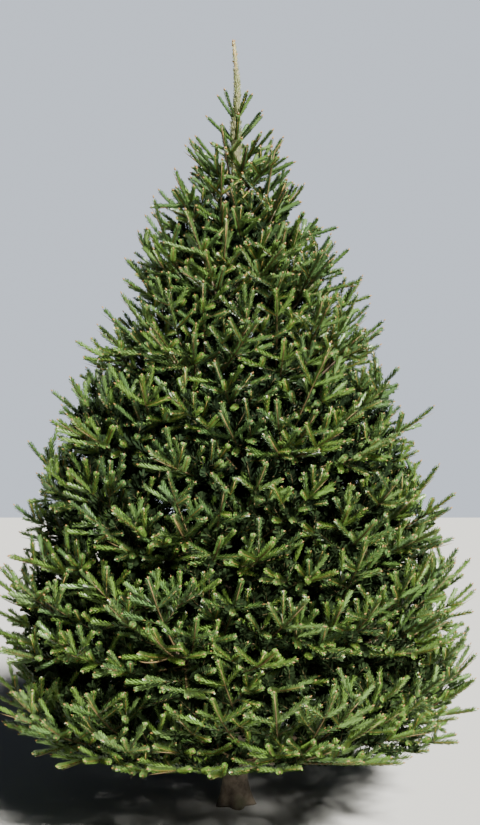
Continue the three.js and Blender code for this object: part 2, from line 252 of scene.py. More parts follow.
# The boughs: the limbs of each yearly whorl, grown out of the trunk with a swollen
# collar and bent up to the sheared outline. They are bare, smooth and brown near the
# trunk, with the low knots of lost side twigs.
UP = Vector((0, 0, 1))
CROWN_RADIUS = 0.85
WIDEST_HEIGHT = 0.65
CROWN_TOP_HEIGHT = 2.65
CROWN_FULLNESS = 1.3
SKIRT_DEPTH = 1.0
LIMBS_IN_WHORL = [5, 5, 4, 4, 4, 5, 4, 4]
WHORLS_WITH_BOUGHS = 5
WHORL_TURN = 0.64
ROOT_ANGLE = (4, 44)
TIP_ANGLE = (24, 64)
LEAST_REACH = 0.04
TURN_SCATTER = 0.07
REACH_SCATTER = (0.95, 1)
THICKEST_LIMB = 0.0145
THINNEST_LIMB = 0.0055
LIMB_TIP_SHARE = 0.2
SEED = 11


def between(low, high, limb, item, use):
    """A number in a range that is always the same for the same limb, item and use."""
    wave = math.sin(limb * 12.9898 + item * 78.233 + use * 37.719 + SEED) * 43758.5453
    return mix(low, high, wave - math.floor(wave))


def crown_radius(height):
    if height < WIDEST_HEIGHT:
        return CROWN_RADIUS * math.sqrt(1 - ((WIDEST_HEIGHT - height) / SKIRT_DEPTH) ** 2)
    up = min((height - WIDEST_HEIGHT) / (CROWN_TOP_HEIGHT - WIDEST_HEIGHT), 1)
    return CROWN_RADIUS * (1 - up ** CROWN_FULLNESS)


def whorl_at(level):
    share = level / TOP_WHORL
    height = whorl_height(level)
    root_slope = math.tan(math.radians(mix(*ROOT_ANGLE, share)))
    tip_slope = math.tan(math.radians(mix(*TIP_ANGLE, share)))
    # Each pass brings the limb's reach closer to the outline at the height of its tip.
    reach = CROWN_RADIUS
    for _ in range(40):
        tip_height = height + reach * (root_slope + tip_slope) / 2
        reach = max(0.5 * (reach + crown_radius(tip_height)), LEAST_REACH)
    return {
        "level": level, "height": height, "root_slope": root_slope,
        "bend": (tip_slope - root_slope) / (2 * reach), "reach": reach,
    }


def limb_height(whorl, distance):
    return whorl["height"] + whorl["root_slope"] * distance + whorl["bend"] * distance ** 2


def on_limb(limb, distance):
    start = trunk_centre(limb["whorl"]["height"])
    return Vector((
        start.x + distance * math.cos(limb["turn"]),
        start.y + distance * math.sin(limb["turn"]),
        limb_height(limb["whorl"], distance),
    ))


def limb_way(limb, distance):
    return (on_limb(limb, distance + 0.001) - on_limb(limb, distance - 0.001)).normalized()


def limb_radius(limb, distance):
    return limb["radius"] * mix(1, LIMB_TIP_SHARE, distance / limb["reach"])


COLLAR_SWELL = 0.55
COLLAR_LENGTH = 0.022
KNOT_SCALE = 60
KNOT_START = 0.3
KNOT_SWELL = 0.5
BOUGH_GRAIN_SCALE = 130
BOUGH_GRAIN_RISE = 0.0007
BOUGH_END_SHARE = 0.8
BOUGH_SIDES = 10
BOUGH_RINGS = 26
BOUGH_PALE = (0.2, 0.15, 0.1)
BOUGH_DARK = (0.09, 0.062, 0.04)
BOUGH_MOSS = (0.11, 0.12, 0.06)


def bough_place(limb):
    def place(share, turn):
        distance = share ** 1.2 * limb["reach"] * BOUGH_END_SHARE
        centre, way = on_limb(limb, distance), limb_way(limb, distance)
        across = UP.cross(way).normalized()
        over = way.cross(across)
        out = across * math.cos(turn) + over * math.sin(turn)
        past_trunk = max(distance - trunk_radius(limb["whorl"]["height"]), 0)
        collar = 1 + COLLAR_SWELL * math.exp(-past_trunk / COLLAR_LENGTH)
        radius = limb_radius(limb, distance) * collar
        knot = max(noise.noise(centre * KNOT_SCALE + out * 0.7) - KNOT_START, 0)
        grain = noise.noise((centre + out * radius) * BOUGH_GRAIN_SCALE)
        return centre + out * (radius * (1 + KNOT_SWELL * knot) + BOUGH_GRAIN_RISE * grain)
    return place


whorls = [whorl_at(level) for level in range(TOP_WHORL + 2)]
limbs = []
for level, count in enumerate(LIMBS_IN_WHORL):
    for i in range(count):
        number = len(limbs) + 1
        middle = (level * WHORL_TURN + i / count * FULL_TURN) % FULL_TURN
        limbs.append({
            "whorl": whorls[level], "number": number, "middle": middle, "letter": "abcde"[i],
            "turn": middle + between(-TURN_SCATTER, TURN_SCATTER, number, 0, 13),
            "half_sector": math.pi / count,
            "reach": whorls[level]["reach"] * between(*REACH_SCATTER, number, 0, 14),
            "radius": mix(THICKEST_LIMB, THINNEST_LIMB, level / (TOP_WHORL - 1)),
        })

bough_bark = bark_finish("bough_bark", BOUGH_PALE, BOUGH_DARK, BOUGH_MOSS, 1.6)
boughs_mesh = bmesh.new()
for limb in limbs:
    add_stem(boughs_mesh, BOUGH_SIDES, BOUGH_RINGS, bough_place(limb))
boughs = stem_piece("boughs_wood", boughs_mesh, bough_bark)
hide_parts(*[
    f"bough_whorl_{limb['whorl']['level'] + 1}_{limb['letter']}"
    for limb in limbs if limb["whorl"]["level"] < WHORLS_WITH_BOUGHS
])

# The twigs: side twigs grow from each bough to the sheared outline and fork in pairs, a
# year at a time, into needled shoots, each rooted on the one before it. Old twigs are
# brown, and this year's are tan with fine down.
rng = np.random.default_rng(SEED)
shoots = []
arms = []
# An age kept for the shaded shoots inside the crown, while the others count years from 0.
INNER = 9


def spin(way, axis, angle):
    return Matrix.Rotation(angle, 3, axis) @ way


def lift_of(way, roll=0.0):
    """The side of a shoot that faces up, square to the shoot."""
    lift = UP - way * UP.dot(way)
    if lift.length < 1e-3:
        lift = Vector((1, 0, 0)) - way * way.x
    return spin(lift.normalized(), way, roll)


def add_shoot(base, way, lift, length, bend, age, spray):
    way = way.normalized()
    lift = (lift - way * lift.dot(way)).normalized()
    shoots.append((*base, *way, *lift, length, bend, age, spray))
    end = base + way * length + lift * bend * length
    return end, (way + lift * 2 * bend).normalized()


UPTURN = 0.85


def upturned(way, least):
    """Shoots seldom point below the level: they turn up towards the light."""
    way = way.normalized()
    way.z += UPTURN * max(least - way.z, 0)
    return way.normalized()


# The skirt's edge, and the waves in it: how high, how many round the tree, and where they start.
SKIRT_HEIGHT = 0.262
SKIRT_TILT = 0.04
SKIRT_WAVES = [(0.022, 4, 0.5), (0.017, 9, 0)]


def skirt_height(place):
    """The skirt hangs unevenly, a little higher at the front than at the sides and back."""
    turn = math.atan2(place.y, place.x)
    height = SKIRT_HEIGHT - SKIRT_TILT * math.sin(turn)
    for rise, count, first in SKIRT_WAVES:
        height += rise * math.sin(count * turn + first)
    return height


# How shoots grow on: lengths are shares of the shoot before, and angles are in degrees.
SHOOT_RISES = (0.0, 0.3)
SHOOT_BENDS = (0.02, 0.11)
ONWARD_LENGTHS = (0.9, 1.2)
FORK_CHANCE = 0.7
FORK_ANGLES = (46, 68)
FORK_LIFTS = (-0.3, 0.35)
FORK_LENGTHS = (0.6, 0.85)


def grow(base, way, lift, length, years, spray):
    """A shoot and what grew on since: one that carries it on, and up to two beside it."""
    way = upturned(way, rng.uniform(*SHOOT_RISES))
    below = skirt_height(base) - base.z - way.z * length
    if below > 0:
        way = way + UP * below / length
    bend = rng.uniform(*SHOOT_BENDS)
    end, onward = add_shoot(base, way, lift, length, bend, years - 1, spray)
    if years == 1:
        return
    grow(end, onward, lift, length * rng.uniform(*ONWARD_LENGTHS), years - 1, spray)
    for side in (-1, 1):
        if rng.random() < FORK_CHANCE:
            beside = spin(onward, lift, side * math.radians(rng.uniform(*FORK_ANGLES)))
            beside += lift * rng.uniform(*FORK_LIFTS)
            grow(end, beside, lift, length * rng.uniform(*FORK_LENGTHS), 1, spray)


def bezier(start, middle, end, share):
    return start.lerp(middle, share).lerp(middle.lerp(end, share), share)


# Side twigs: how far they sag low in the crown or bow up high in it, and the shoots they bear.
ARM_STEPS = 13
ARM_SAGS = (0.12, -0.08)
LOWEST_SAG_HEIGHT = 0.45
TERMINAL_BENDS = (0.03, 0.13)
JOINT_LENGTHS = (1.0, 1.3)
SHORTEST_JOINT = 0.03
SIDE_ANGLES = (42, 60)
SIDE_LIFTS = (-0.12, 0.2)
SIDE_SCATTER = (0.8, 1.15)
UPRIGHT_CHANCE = 0.1
UPRIGHT_LIFTS = (0.7, 1.5)
UPRIGHT_LENGTHS = (0.65, 0.9)


def grow_arm(stem, tip, spray, terminal, side_length, roll):
    """A side twig from a bough or the trunk, with a needled spray on its outer part."""
    run = (tip - stem).length
    aloft = min(max((tip.z - 0.9) / 0.9, 0), 1)
    sag = mix(*ARM_SAGS, aloft) if tip.z > LOWEST_SAG_HEIGHT else 0.0
    middle = stem.lerp(tip, 0.55) - UP * run * sag
    shares = np.linspace(0, 1, ARM_STEPS)
    line = [bezier(stem, middle, tip, s) for s in shares]
    along = np.concatenate([[0], np.cumsum([(b - a).length for a, b in zip(line, line[1:])])])
    total = along[-1]

    def at(distance):
        return bezier(stem, middle, tip, float(np.interp(distance, along, shares)))

    fork = max(total - terminal, 0)
    stops = [fork, fork - side_length * rng.uniform(*JOINT_LENGTHS)]
    stops = [stop for stop in stops if stop > 0.02] or [0.0]
    way = (at(total) - at(stops[0])).normalized()
    bend = rng.uniform(*TERMINAL_BENDS)
    add_shoot(at(stops[0]), way, lift_of(way, roll), total - stops[0], bend, 0, spray)
    for joint, stop in enumerate(stops):
        place = at(stop)
        nearer = at(stops[joint + 1]) if joint + 1 < len(stops) else at(max(stop - side_length, 0))
        step = place - nearer
        onward = step.normalized() if step.length > 1e-6 else way
        lift = lift_of(onward, roll)
        if step.length > SHORTEST_JOINT:
            add_shoot(nearer, onward, lift, step.length, 0.0, joint + 1, spray)
        size = terminal * 0.78 if joint == 0 else side_length
        for side in (-1, 1):
            beside = spin(onward, lift, side * math.radians(rng.uniform(*SIDE_ANGLES)))
            beside += lift * rng.uniform(*SIDE_LIFTS)
            grow(place, beside, lift, size * rng.uniform(*SIDE_SCATTER), joint + 1, spray)
        if rng.random() < UPRIGHT_CHANCE:
            upright = onward + lift * rng.uniform(*UPRIGHT_LIFTS)
            grow(place, upright, -onward, side_length * rng.uniform(*UPRIGHT_LENGTHS), 1, spray)
    return line


def half_band(limb, distance):
    level = limb["whorl"]["level"]
    return (limb_height(whorls[level + 1], distance) - limb_height(limb["whorl"], distance)) / 2


BROAD_HEIGHT, BROAD_SPAN, BROAD_SHARE = 1.25, 0.2, 0.07
HOLLOW_HEIGHT, HOLLOW_SPAN, HOLLOW_SHARE = 1.77, 0.13, 0.13


def outer_reach(turn, height):
    """The crown's outline, hollowed on its left flank above the broadest limbs there."""
    left = max(-math.cos(turn), 0)
    broad = math.exp(-((height - BROAD_HEIGHT) / BROAD_SPAN) ** 2)
    hollow = math.exp(-((height - HOLLOW_HEIGHT) / HOLLOW_SPAN) ** 2)
    return crown_radius(height) * (1 + left * (BROAD_SHARE * broad - HOLLOW_SHARE * hollow))


def outline_point(limb, around, up):
    distance = limb["reach"]
    turn = limb["middle"] + around * limb["half_sector"]
    # Each pass brings the point closer to the outline at its own height.
    for _ in range(12):
        height = limb_height(limb["whorl"], distance) + up * half_band(limb, distance)
        distance = max((distance + outer_reach(turn, height)) / 2, 0.4 * limb["reach"])
    height = limb_height(limb["whorl"], distance) + up * half_band(limb, distance)
    return Vector((distance * math.cos(turn), distance * math.sin(turn), height))


# Where the side twigs end: columns across each limb's sector of the crown, with rows up and
# down its band that differ from one column to the next.
TWIG_COLUMNS = [7, 7, 7, 6, 5, 4, 3, 2]
TWIG_ROWS = [([-0.65, -0.1, 0.5], [-0.4, 0.3, 0.95]), ([-0.55, 0.45], [-0.1, 0.9])]
TWIG_SECTOR = 0.92
COLUMN_SCATTER = 0.07
ROW_SCATTER = 0.42
LIMB_ROW_SCATTER = 0.25
SKIRT_STEP = 0.022
# Where they begin on the limb, and how long and thick they and their shoots are.
BARE_SHARE = 0.3
LEAST_ROOT_SHARE = 0.2
ROOT_SETBACK = 0.26
COLUMN_STEP = 0.012
TWIG_ANGLES = (46, 58)
TERMINAL_LENGTHS = (0.1, 0.125)
TERMINAL_EXTRA = 0.07
SIDE_LENGTHS = (0.078, 0.07)
ROLL_SCATTER = 0.45
ARM_RADII = (0.0042, 0.0026)
THINNEST_TWIG = 0.0015
# The twig that carries the limb itself on to its tip.
TIP_SCATTER = (1, 1.05)
TIP_TERMINAL_LENGTHS = (0.11, 0.145)
TIP_SIDE_LENGTH = 0.088
TIP_ROLL = 0.35
THINNEST_TIP = 0.0018

spray = 0
for limb in limbs:
    number, reach, level = limb["number"], limb["reach"], limb["whorl"]["level"]
    columns = TWIG_COLUMNS[level]
    high = between(-LIMB_ROW_SCATTER, LIMB_ROW_SCATTER, number, 0, 21)
    for column in range(columns):
        rows = TWIG_ROWS[min(level, 1)][column % 2]
        if level == TOP_WHORL - 1:
            rows = rows[:1]
        for up in rows:
            spray += 1
            around = mix(-TWIG_SECTOR, TWIG_SECTOR, column / max(columns - 1, 1))
            around += rng.uniform(-COLUMN_SCATTER, COLUMN_SCATTER)
            row = up + high + rng.uniform(-ROW_SCATTER, ROW_SCATTER)
            target = outline_point(limb, around, row)
            far = math.hypot(target.x, target.y)
            turned = around * limb["half_sector"]
            aside = abs(far * math.sin(turned))
            root_at = (
                far * math.cos(turned) - ROOT_SETBACK * reach
                - aside / math.tan(math.radians(rng.uniform(*TWIG_ANGLES)))
            )
            bare = BARE_SHARE * reach * 1.1 if level < WHORLS_WITH_BOUGHS else 0
            nearest = max(bare, LEAST_ROOT_SHARE * reach)
            stem = on_limb(limb, max(root_at, nearest + COLUMN_STEP * column))
            furthest = 1.06 if level < 3 else 1.14
            tip = stem + (target - stem) * rng.uniform(0.88, furthest)
            tip.z = max(tip.z, skirt_height(tip) + SKIRT_STEP * (spray % 3))
            terminal = mix(*TERMINAL_LENGTHS, level / (TOP_WHORL - 1))
            terminal += TERMINAL_EXTRA * rng.random() ** 1.3
            side_length = mix(*SIDE_LENGTHS, level / TOP_WHORL) * rng.uniform(0.85, 1.15)
            roll = -math.copysign(0.1, around) + rng.uniform(-ROLL_SCATTER, ROLL_SCATTER)
            line = grow_arm(stem, tip, spray, terminal, side_length, roll)
            arms.append((line, mix(*ARM_RADII, level / TOP_WHORL), THINNEST_TWIG))
    spray += 1
    tip = on_limb(limb, reach * between(*TIP_SCATTER, number, 0, 6))
    tip.z = max(tip.z, skirt_height(tip) + 0.11)
    roll = math.copysign(TIP_ROLL, between(-1, 1, number, 0, 22))
    stem = on_limb(limb, reach * 0.5)
    line = grow_arm(stem, tip, spray, rng.uniform(*TIP_TERMINAL_LENGTHS), TIP_SIDE_LENGTH, roll)
    arms.append((line, limb_radius(limb, reach * 0.6), THINNEST_TIP))

# The rings of shoots at the foot of the leading shoot: height, number, rises, lengths and turn.
TOP_RINGS = [
    (TOP_WHORL_HEIGHT, 5, (1.05, 1.6), (0.105, 0.122), 0.4),
    (TOP_WHORL_HEIGHT - 0.078, 5, (0.7, 1.15), (0.12, 0.15), 1.0),
]
for row, (height, count, rises, sizes, turn) in enumerate(TOP_RINGS):
    for i in range(count):
        spray += 1
        around = turn + i / count * FULL_TURN + between(-0.15, 0.15, row, i, 10)
        way = facing(around, between(*rises, row, i, 11)).normalized()
        size = between(*sizes, row, i, 12)
        add_shoot(trunk_centre(height), way, lift_of(way), size, 0.03, 0, spray)

# Lesser shoots from the trunk between the upper whorls, none of them at the front of its top.
GOLDEN_ANGLE = 2.399963
LESSER_HEIGHTS = (1.3, 2.3)
LESSER_SHOOTS = 30
LONGEST_SINGLE = 0.17

for i, height in enumerate(np.linspace(*LESSER_HEIGHTS, LESSER_SHOOTS)):
    spray += 1
    around = i * GOLDEN_ANGLE
    if height > 2.1 and math.sin(around) < -0.5:
        continue
    slope = mix(0.5, 1.1, height / TREE_HEIGHT)
    room = 0.2
    for _ in range(8):
        room = max(crown_radius(height + room * slope) * 0.84, 0.05)
    length = room * math.hypot(1, slope)
    way = facing(around, slope).normalized()
    start = trunk_centre(height)
    if length < LONGEST_SINGLE:
        add_shoot(start, way, lift_of(way), length, 0.04, 0, spray)
    else:
        line = grow_arm(start, start + way * length, spray, 0.11, 0.07, 0.0)
        arms.append((line, 0.003, THINNEST_TWIG))


def wood_points():
    """Places on the twigs, boughs and trunk that a new shoot can be rooted at."""
    places = [line[i] for line, _, _ in arms for i in range(2, ARM_STEPS - 1)]
    for x, y, z, wx, wy, wz, ux, uy, uz, length, bend, age, _ in shoots:
        if age > 0:
            for share in (0.35, 0.7, 1.0):
                step = length * share
                up = bend * length * share * share
                places.append(Vector((
                    x + wx * step + ux * up, y + wy * step + uy * up, z + wz * step + uz * up
                )))
    for limb in limbs:
        for share in np.linspace(0.12, 0.75, 14):
            places.append(on_limb(limb, limb["reach"] * share))
    places += [trunk_centre(height) for height in np.arange(0.4, 2.1, 0.03)]
    tree = KDTree(len(places))
    for i, place in enumerate(places):
        tree.insert(place, i)
    tree.balance()
    return tree


def shell_places(count, lowest, highest, crowd):
    """Heights and turns spread over a band of the crown, with more of them where it is wide."""
    heights = np.linspace(lowest, highest, 400)
    widths = np.array([crown_radius(height) for height in heights]) ** crowd
    summed = np.cumsum(widths)
    for i in range(count):
        height = float(np.interp((i + 0.5) / count * summed[-1], summed, heights))
        yield height, i * GOLDEN_ANGLE


# New shoots: how far from the straight way out they lean, the longest run from the wood in
# lengths of a shoot, and the number of sprays that they are dealt to.
ASIDE_SCATTER = 1.4
RISE_SCATTER = 0.35
LONGEST_RUN = 2.8
SPRAYS_DEALT = 97


def fill_gaps(count, lowest, highest, crowd, shell, gap, sizes, age):
    """New shoots from the nearest wood to each place of a shell that none has reached."""
    shortest, longest = sizes
    wood = wood_points()
    alike = [shoot for shoot in shoots if (shoot[11] == INNER) == (age == INNER)]
    taken = [
        Vector(shoot[0:3]) + Vector(shoot[3:6]) * shoot[9] * share
        for shoot in alike for share in (0.4, 0.9)
    ]
    # One place far below the ground, so that the search finds something even in an empty shell.
    taken.insert(0, Vector((0, 0, -9)))
    near = KDTree(len(taken))
    for i, place in enumerate(taken):
        near.insert(place, i)
    near.balance()
    grown = 0
    for height, turn in shell_places(count, lowest, highest, crowd):
        out = outer_reach(turn, height) * rng.uniform(*shell)
        place = Vector((out * math.cos(turn), out * math.sin(turn), height))
        if near.find(place)[2] < gap or height < skirt_height(place) + 0.03:
            continue
        outward = facing(turn, mix(0.1, 0.8, height / TREE_HEIGHT))
        aside = Vector((-math.sin(turn), math.cos(turn), 0))
        outward = outward.normalized() + aside * rng.uniform(-ASIDE_SCATTER, ASIDE_SCATTER)
        outward.z += rng.uniform(-RISE_SCATTER, RISE_SCATTER)
        start = wood.find(place - outward.normalized() * mix(*sizes, 0.5) - UP * 0.025)[0]
        reach = (place - start).length
        if reach > longest * LONGEST_RUN or start.z < skirt_height(start) - 0.02:
            continue
        way = (place - start).normalized()
        if age < INNER:
            way = upturned(way, rng.uniform(-0.25, 0.2))
        lift = lift_of(way, rng.uniform(-0.6, 0.6))
        group = grown % SPRAYS_DEALT
        if reach > longest:
            joint = reach - longest * 0.9
            start, way = add_shoot(start, way, lift, joint, 0.0, max(age, 1), group)
            reach = longest * 0.9
        add_shoot(start, way, lift, max(reach, shortest), 0.05, age, group)
        grown += 1


# The shells, in the order they are filled: places tried, lowest and highest height, crowding
# where the crown is wide, share of its reach, least gap, range of lengths, and age.
SHELLS = [
    (4800, 0.26, 2.05, 1.1, (0.8, 0.93), 0.046, (0.045, 0.072), 0),
    (3600, 0.34, 2.0, 1.2, (0.68, 0.84), 0.037, (0.045, 0.065), 0),
    (3000, 0.28, 1.5, 1.6, (0.4, 0.87), 0.043, (0.08, 0.13), INNER),
    (1500, 0.28, 0.75, 1.0, (0.45, 0.88), 0.034, (0.07, 0.11), INNER),
    (700, 0.8, 1.5, 1.0, (0.7, 0.86), 0.038, (0.06, 0.09), INNER),
    (800, 1.4, 2.1, 1.0, (0.25, 0.7), 0.036, (0.07, 0.11), INNER),
    (900, 0.4, 1.9, 1.0, (0.08, 0.4), 0.05, (0.1, 0.16), INNER),
    (900, 0.28, 0.9, 1.0, (0.1, 0.6), 0.045, (0.09, 0.14), INNER),
]
for shell in SHELLS:
    fill_gaps(*shell)

shoots = np.array(shoots)
bases, ways, lifts = shoots[:, 0:3], shoots[:, 3:6], shoots[:, 6:9]
lengths, bends, ages, sprays = shoots[:, 9], shoots[:, 10], shoots[:, 11], shoots[:, 12]


def unit(vectors):
    return vectors / np.linalg.norm(vectors, axis=-1, keepdims=True)


def along_shoot(which, share):
    """Places and directions along shoots, with the side and top of each there."""
    reach = (lengths[which] * share)[:, None]
    bend = bends[which][:, None]
    part = share[:, None]
    place = bases[which] + ways[which] * reach + lifts[which] * bend * part * reach
    way = unit(ways[which] + lifts[which] * 2 * bend * part)
    side = unit(np.cross(way, lifts[which]))
    return place, way, side, np.cross(side, way)


def array_piece(name, points, corners, material):
    """A piece from one array of points and one of faces."""
    data = bpy.data.meshes.new(name)
    data.vertices.add(len(points))
    data.vertices.foreach_set("co", np.ascontiguousarray(points, dtype=np.float32).ravel())
    data.loops.add(corners.size)
    data.loops.foreach_set("vertex_index", np.ascontiguousarray(corners, dtype=np.int32).ravel())
    data.polygons.add(len(corners))
    data.polygons.foreach_set("loop_start", np.arange(len(corners), dtype=np.int32) * corners.shape[1])
    data.update(calc_edges=True)
    data.validate()
    return add_piece(name, data, material)


def plain_finish(name, colour, roughness, coat=0.0, gloss=0.5):
    made = bpy.data.materials.new(name)
    made.use_nodes = True
    shader = made.node_tree.nodes["Principled BSDF"]
    shader.inputs["Base Color"].default_value = (*colour, 1)
    shader.inputs["Roughness"].default_value = roughness
    shader.inputs["Specular IOR Level"].default_value = gloss
    shader.inputs["Coat Weight"].default_value = coat
    shader.inputs["Coat Roughness"].default_value = 0.35
    return made


def tube_arrays(rings, radii, across, over, sides):
    """Pointed tubes as one array of points and one of triangles. rings is (tube, ring, xyz)."""
    count, steps, _ = rings.shape
    body = steps - 1
    turn = np.arange(sides) / sides * FULL_TURN
    out = (
        across[:, :body, None, :] * np.cos(turn)[None, None, :, None]
        + over[:, :body, None, :] * np.sin(turn)[None, None, :, None]
    )
    skin = (rings[:, :body, None, :] + out * radii[:, :body, None, None]).reshape(count, -1, 3)
    points = np.concatenate([skin, rings[:, -1:, :]], 1)
    near, after = np.arange(sides), (np.arange(sides) + 1) % sides
    faces = []
    for step in range(body - 1):
        a, b = step * sides + near, step * sides + after
        faces += [np.stack([a, b, b + sides], 1), np.stack([a, b + sides, a + sides], 1)]
    last = (body - 1) * sides
    faces.append(np.stack([last + near, last + after, np.full(sides, body * sides)], 1))
    faces += [np.array([[0, corner + 1, corner]]) for corner in range(1, sides - 1)]
    faces = np.concatenate(faces)
    starts = (np.arange(count) * points.shape[1])[:, None, None]
    return points.reshape(-1, 3), (faces[None] + starts).reshape(-1, 3)


def shoot_tubes(which, root_radius, tip_radius, shares=(0.0, 0.6, 1.02)):
    rings, across, over = [], [], []
    for share in shares:
        place, _, side, top = along_shoot(which, np.full(len(which), share))
        rings.append(place)
        across.append(top)
        over.append(-side)
    radii = np.stack([root_radius, tip_radius, tip_radius], 1)
    return tube_arrays(np.stack(rings, 1), radii, np.stack(across, 1), np.stack(over, 1), 3)


def joined(parts):
    points, faces, start = [], [], 0
    for part_points, part_faces in parts:
        points.append(part_points)
        faces.append(part_faces + start)
        start += len(part_points)
    return np.concatenate(points), np.concatenate(faces)


NEW_TWIG_TAN = (0.37, 0.245, 0.066)
NEW_TWIG_RADII = (0.0017, 0.0014)
OLD_TWIG_BROWN = (0.13, 0.09, 0.042)
YEARLY_THICKENING = 0.0005
TWIG_TAPER = 0.0004
SHADED_TWIG_RADIUS = 0.0019
ARM_SIDES = 5

new_twig = plain_finish("new_twig_skin", NEW_TWIG_TAN, 0.7, 0, 0.3)
old_twig = plain_finish("old_twig_bark", OLD_TWIG_BROWN, 0.85, 0, 0.2)

young = np.flatnonzero(ages == 0)
root_radius, tip_radius = [np.full(len(young), radius) for radius in NEW_TWIG_RADII]
points, faces = shoot_tubes(young, root_radius, tip_radius)
array_piece("twigs_this_year", points, faces, new_twig)

older = np.flatnonzero((ages > 0) & (ages < INNER))
thick = NEW_TWIG_RADII[0] + YEARLY_THICKENING * np.minimum(ages[older], 3)
old_parts = [shoot_tubes(older, thick, thick - TWIG_TAPER)]
inner = np.flatnonzero(ages == INNER)
thick = np.full(len(inner), SHADED_TWIG_RADIUS)
old_parts.append(shoot_tubes(inner, thick, thick, (0.0, 1.02)))
arm_rings = np.array([line[::2] for line, _, _ in arms])
arm_ways = unit(np.gradient(arm_rings, axis=1))
arm_across = unit(np.cross(np.array([0.0, 0.0, 1.0]), arm_ways))
arm_over = np.cross(arm_ways, arm_across)
arm_radii = np.array([np.linspace(root, end, arm_rings.shape[1]) for _, root, end in arms])
old_parts.append(tube_arrays(arm_rings, arm_radii, arm_across, arm_over, ARM_SIDES))
points, faces = joined(old_parts)
array_piece("twigs_older", points, faces, old_twig)

# The needles: flat and blunt, rooted round the top and sides of each shoot and swept
# forwards and up, so that the shoot's underside shows its bark. They are dark and
# waxy, lighter on this year's shoots, and dull inside the crown, where their near black
# colour is painted shade.
GOLDEN_SHARE = 0.618034
NEEDLE_ROOT_SHARE = 0.24
LEAST_NEEDLES = 8
# In degrees, to each side of a shoot's top.
NEEDLE_SPREAD = 158


def ramp(values, start, span):
    return np.clip((values - start) / span, 0, 1)


def needle_arrays(which, per_metre, size, width, sweep):
    """Needles of many shoots, four corners each: narrow at the root and blunt at the tip."""
    crowded = 1 + 0.5 * ramp(bases[which, 2], 1.8, 0.5)
    counts = np.maximum((lengths[which] * per_metre * crowded).astype(int), LEAST_NEEDLES)
    owner = np.repeat(which, counts)
    order = np.concatenate([np.arange(n) for n in counts])
    share = 0.94 * (order + rng.uniform(0.2, 0.8, len(order))) / np.repeat(counts, counts)
    closing = ramp(share, 0.78, 0.16)
    place, way, side, top = along_shoot(owner, share)
    aloft = ramp(bases[owner, 2], 1.7, 0.5)
    spread = np.radians(NEEDLE_SPREAD - 22 * aloft + 17 * np.sin(owner * 1.7))
    turn = (2 * ((order * GOLDEN_SHARE + owner * 0.37) % 1) - 1) * spread
    out = top * np.cos(turn)[:, None] + side * np.sin(turn)[:, None]
    lean = np.radians(sweep + 13 * closing + rng.uniform(-4, 4, len(order)))[:, None]
    along = unit(way * np.cos(lean) + out * np.sin(lean) + top * 0.12)
    flat = np.cross(way, out)
    twist = rng.uniform(-0.3, 0.3, len(order))[:, None]
    flat_tip = flat * np.cos(twist) + np.cross(along, flat) * np.sin(twist)
    long = size * (0.8 + 0.24 * np.sin(np.pi * np.minimum(0.1 + share, 0.5))) * (1 - 0.4 * closing)
    long *= rng.uniform(0.93, 1.07, len(order))
    short = ramp(place[:, 2], 2.0, 0.35)
    long = (long * mix(1.04, 0.82, short))[:, None]
    root = place + out * 0.0014
    end = root + along * long
    points = np.stack([
        root - flat * width * NEEDLE_ROOT_SHARE, root + flat * width * NEEDLE_ROOT_SHARE,
        end + flat_tip * width * 0.5, end - flat_tip * width * 0.5,
    ], 1).reshape(-1, 3)
    return points, np.arange(len(order) * 4).reshape(-1, 4)


# Each spray is dealt a number. Raised a little high in the crown and lowered low in it, the
# number picks the colour of each of the spray's shoots: yellower low down as the tree's own
# tone, and darker and bluer near the top, where the darker colours are painted shade.
deal = (np.sin(sprays * 91.7) * 4375.85) % 1
shade = deal + 0.25 * (bases[:, 2] - 1.1)
is_new, is_shaded = ages == 0, ages == INNER
low_down, high_up = bases[:, 2] < 0.6, bases[:, 2] >= 1.1
# Needles to a metre of shoot, their length and width, and how far they lean out in degrees.
NEW_NEEDLES = (720, 0.0158, 0.0043, 28.5)
OLD_NEEDLES = (300, 0.018, 0.0055, 28.5)
SHADED_NEEDLES = (300, 0.023, 0.009, 38)
# Their two finishes: roughness, coat and gloss.
WAXY = (0.42, 0.2, 0.5)
DULL = (0.9, 0, 0.1)
# This year's needles: name, colour, and the least and most number that picks it.
NEW_KINDS = [
    ("yellow", (0.089, 0.165, 0.025), -math.inf, 0.15),
    ("green", (0.082, 0.159, 0.026), 0.15, 0.36),
    ("pale", (0.096, 0.17, 0.043), 0.36, 0.57),
    ("deep", (0.071, 0.141, 0.031), 0.57, 0.78),
    ("dusk", (0.06, 0.121, 0.034), 0.78, math.inf),
]
needle_kinds = [
    (f"new_{tint}", colour, is_new & (shade >= least) & (shade < most), NEW_NEEDLES, WAXY)
    for tint, colour, least, most in NEW_KINDS
] + [
    ("old_green", (0.028, 0.06, 0.012), ~is_new & ~is_shaded, OLD_NEEDLES, WAXY),
    # The needles inside the crown are coloured near black: painted shade for its deep inside.
    ("inner_low_painted_shade", (0.0115, 0.022, 0.0065), is_shaded & low_down, SHADED_NEEDLES, DULL),
    ("inner_middle_painted_shade", (0.0115, 0.022, 0.007), is_shaded & ~low_down & ~high_up, SHADED_NEEDLES, DULL),
    ("inner_high_painted_shade", (0.01, 0.02, 0.0075), is_shaded & high_up, SHADED_NEEDLES, DULL),
]
foliage_nodes = [
    f"foliage_whorl_{limb['whorl']['level'] + 1}_{limb['letter']}" for limb in limbs
] + ["foliage_top_ring"]
for kind, colour, which, form, finish in needle_kinds:
    points, faces = needle_arrays(np.flatnonzero(which), *form)
    material = plain_finish(f"needle_{kind}", colour, *finish)
    array_piece(f"needles_{kind}", points, faces, material)
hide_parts(*foliage_nodes)

